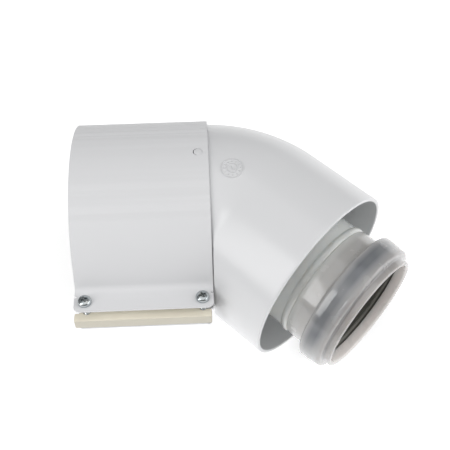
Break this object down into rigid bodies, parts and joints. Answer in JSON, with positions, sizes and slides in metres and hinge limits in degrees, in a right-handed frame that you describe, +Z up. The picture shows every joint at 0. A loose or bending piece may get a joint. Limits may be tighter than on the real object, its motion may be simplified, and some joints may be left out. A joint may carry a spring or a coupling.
{
  "type": "flue elbow",
  "caption": "Coaxial flue bend turning 45 degrees: flue pipe with spigot and sealed socket inside a white air duct, and a split sheet clamp with ears, bar and screws at the inlet.",
  "frame": {"origin": "centre of the air duct's inlet face, on the axis that the air duct and the flue spigot share", "axes": "+X along the inlet leg towards the bend; the outlet leg turns 45 degrees from +X towards -Y; +Z is the normal of the plane of both legs, so the elbow lies flat on a table with +Z up"},
  "size_m": [0.1721, 0.1391, 0.1036],
  "materials": {
    "duct_white": "smooth moulded white plastic, soft gloss",
    "flue_pp": "translucent natural plastic, gloss",
    "spacer_pp": "natural plastic, satin",
    "seal_rubber": "matt black rubber",
    "clamp_white": "white powder coat, satin",
    "liner_rubber": "dark grey foam rubber",
    "bar_cream": "cream moulded plastic, satin",
    "zinc": "bright zinc plate"
  },
  "bodies": {
    "elbow": {"outer_elbow": "duct_white", "inner_elbow": "flue_pp", "inlet_spacer": "spacer_pp", "outlet_spacer": "spacer_pp", "socket_seal": "seal_rubber"},
    "clamp": {"clamp_band": "clamp_white", "clamp_liner": "liner_rubber", "ear_bar": "bar_cream", "inlet_nut": "zinc", "bend_nut": "zinc"},
    "inlet_screw": {"inlet_screw": "zinc"},
    "bend_screw": {"bend_screw": "zinc"}
  },
  "joints": [
    {"name": "clamp_slide", "type": "slide", "parent": "elbow", "child": "clamp", "axis": [1, 0, 0], "range_m": [-0.045, 0]},
    {"name": "inlet_screw_turn", "type": "hinge", "parent": "clamp", "child": "inlet_screw", "pos_m": [-0.01956, -0.05909, 0.01603], "axis": [0, 0.1392, 0.9903], "continuous": true},
    {"name": "bend_screw_turn", "type": "hinge", "parent": "clamp", "child": "bend_screw", "pos_m": [0.03864, -0.05909, 0.01603], "axis": [0, 0.1392, 0.9903], "continuous": true}
  ]
}
